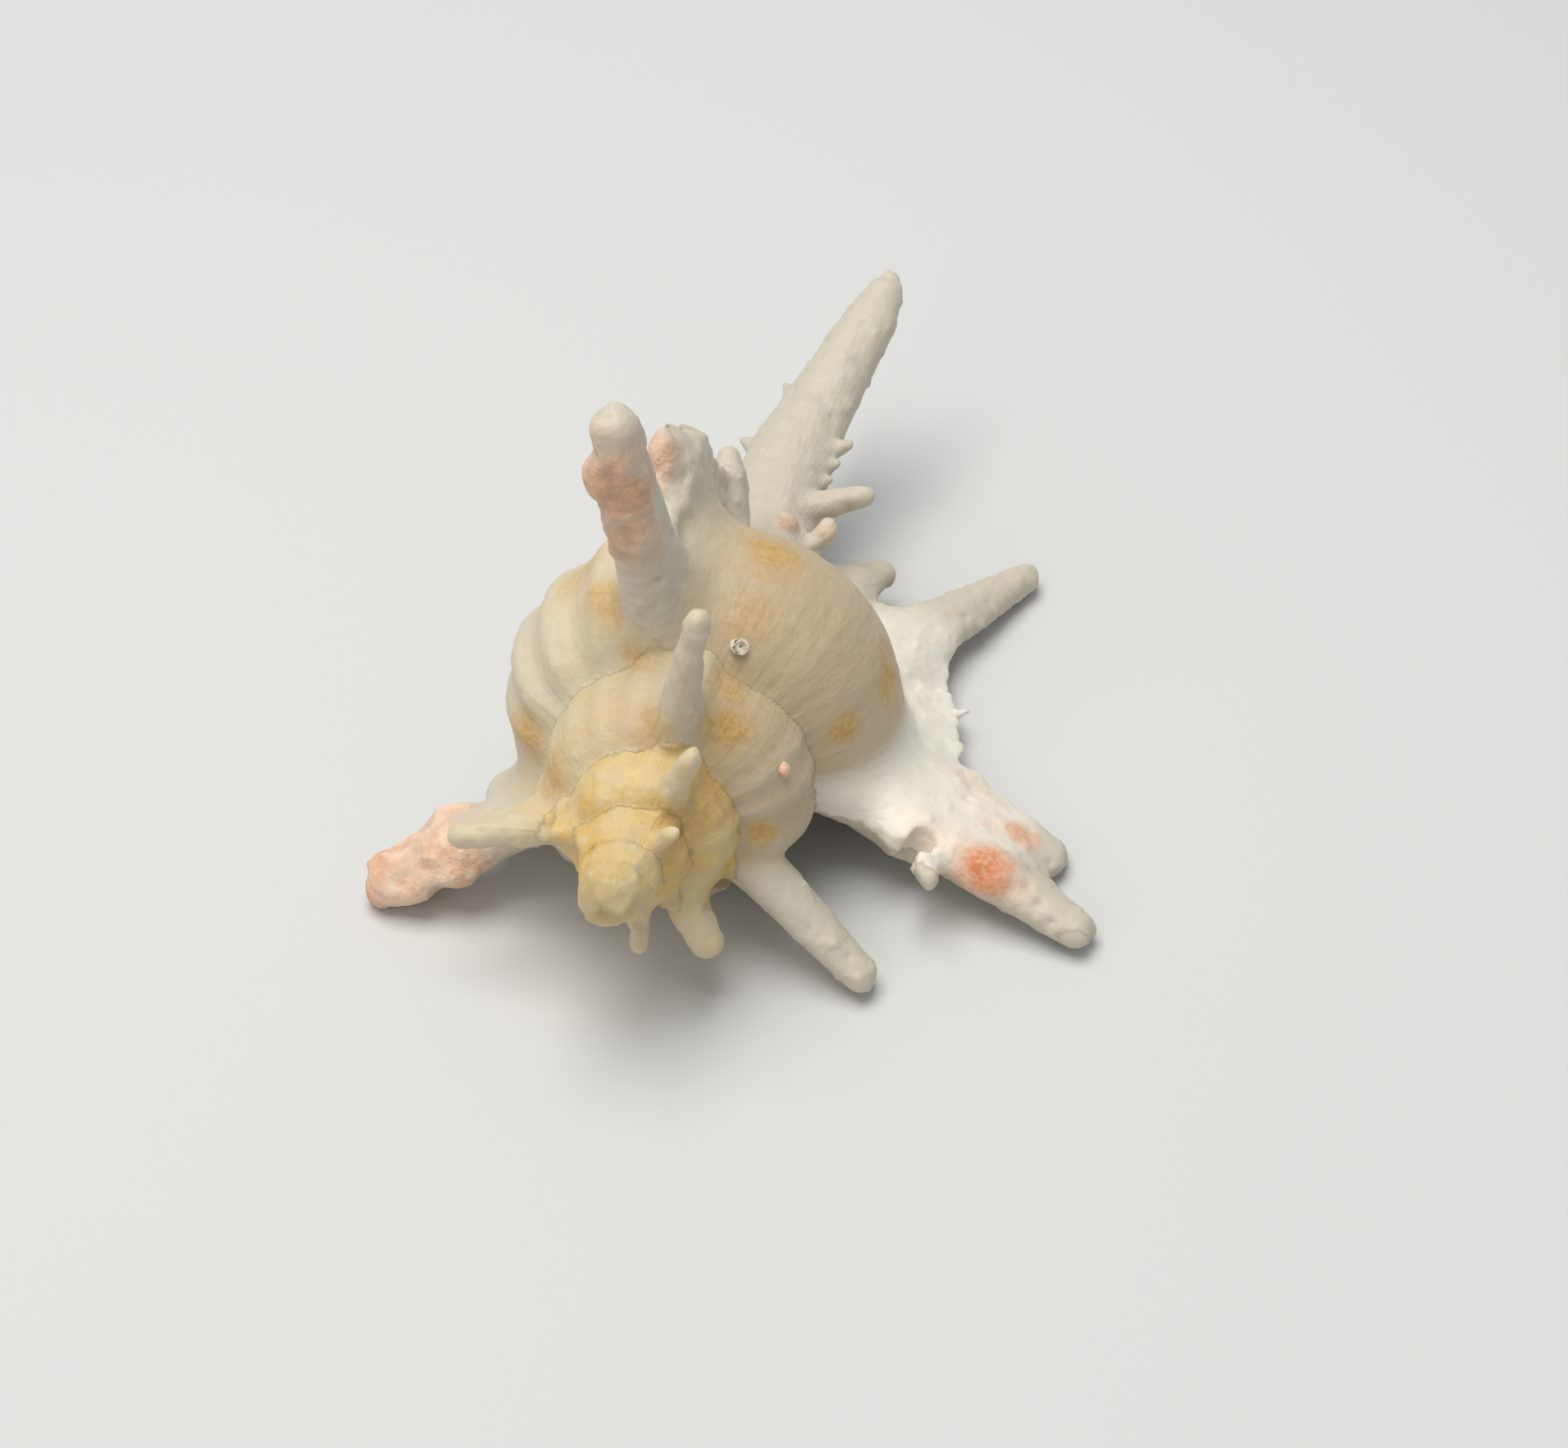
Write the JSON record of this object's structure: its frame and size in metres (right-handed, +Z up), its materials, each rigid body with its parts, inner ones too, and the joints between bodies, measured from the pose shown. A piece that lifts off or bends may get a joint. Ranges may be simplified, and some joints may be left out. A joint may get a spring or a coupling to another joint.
{
  "type": "murex shell",
  "caption": "Long-spined murex shell lying aperture down on its spine tips, with a coiled spire and a long siphonal canal.",
  "frame": {"origin": "middle of the bounding box in X and Y, at the ground that the shell rests on", "axes": "+Y from the apex towards the tip of the siphonal canal, +Z up as the shell rests with its aperture down, +X to the right of someone who looks at the apex"},
  "size_m": [0.044, 0.0602, 0.0349],
  "materials": {
    "shell": "dull, slightly translucent, with tan blotches and pink crusts"
  },
  "bodies": {
    "root": {"murex_shell": "shell"}
  },
  "joints": []
}
